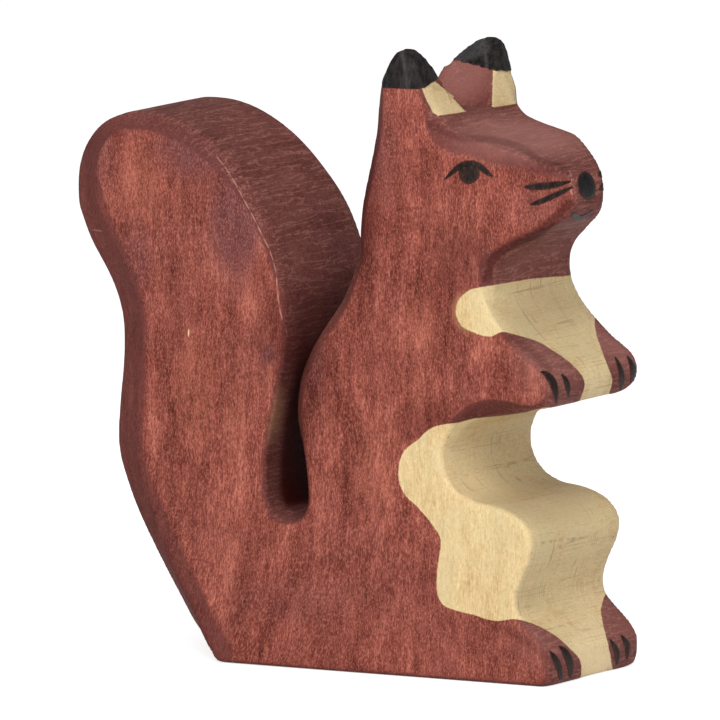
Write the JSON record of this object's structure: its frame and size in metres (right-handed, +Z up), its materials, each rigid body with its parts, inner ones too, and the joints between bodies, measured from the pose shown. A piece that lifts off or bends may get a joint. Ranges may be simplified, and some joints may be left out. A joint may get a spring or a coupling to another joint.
{
  "type": "squirrel figurine",
  "caption": "Sitting squirrel figurine sawn from one plank of pale wood, stained brown with bare chest and belly, and painted with black ear tips, eyes, whiskers and claws.",
  "frame": {"origin": "On the floor under the middle of the figure's length and thickness.", "axes": "+X is forward, where the squirrel looks; +Y is across the plank, towards the squirrel's left side; +Z is up."},
  "size_m": [0.07, 0.0246, 0.0796],
  "materials": {
    "bare_wood": "sanded, clear satin varnish",
    "brown_stain": "translucent brown stain under satin varnish",
    "black_paint": "thin black paint, faint sheen"
  },
  "bodies": {
    "root": {"wooden_figure": "bare_wood", "brown_stain_coat": "brown_stain", "mouth_paint": "black_paint", "ear_tip_paint_right": "black_paint", "ear_tip_paint_left": "black_paint", "eye_paint_right": "black_paint", "eye_paint_left": "black_paint", "whisker_paint_right": "black_paint", "whisker_paint_left": "black_paint", "nostril_paint_right": "black_paint", "nostril_paint_left": "black_paint", "forepaw_claw_paint_right": "black_paint", "forepaw_claw_paint_left": "black_paint", "hind_paw_claw_paint_right": "black_paint", "hind_paw_claw_paint_left": "black_paint"}
  },
  "joints": []
}
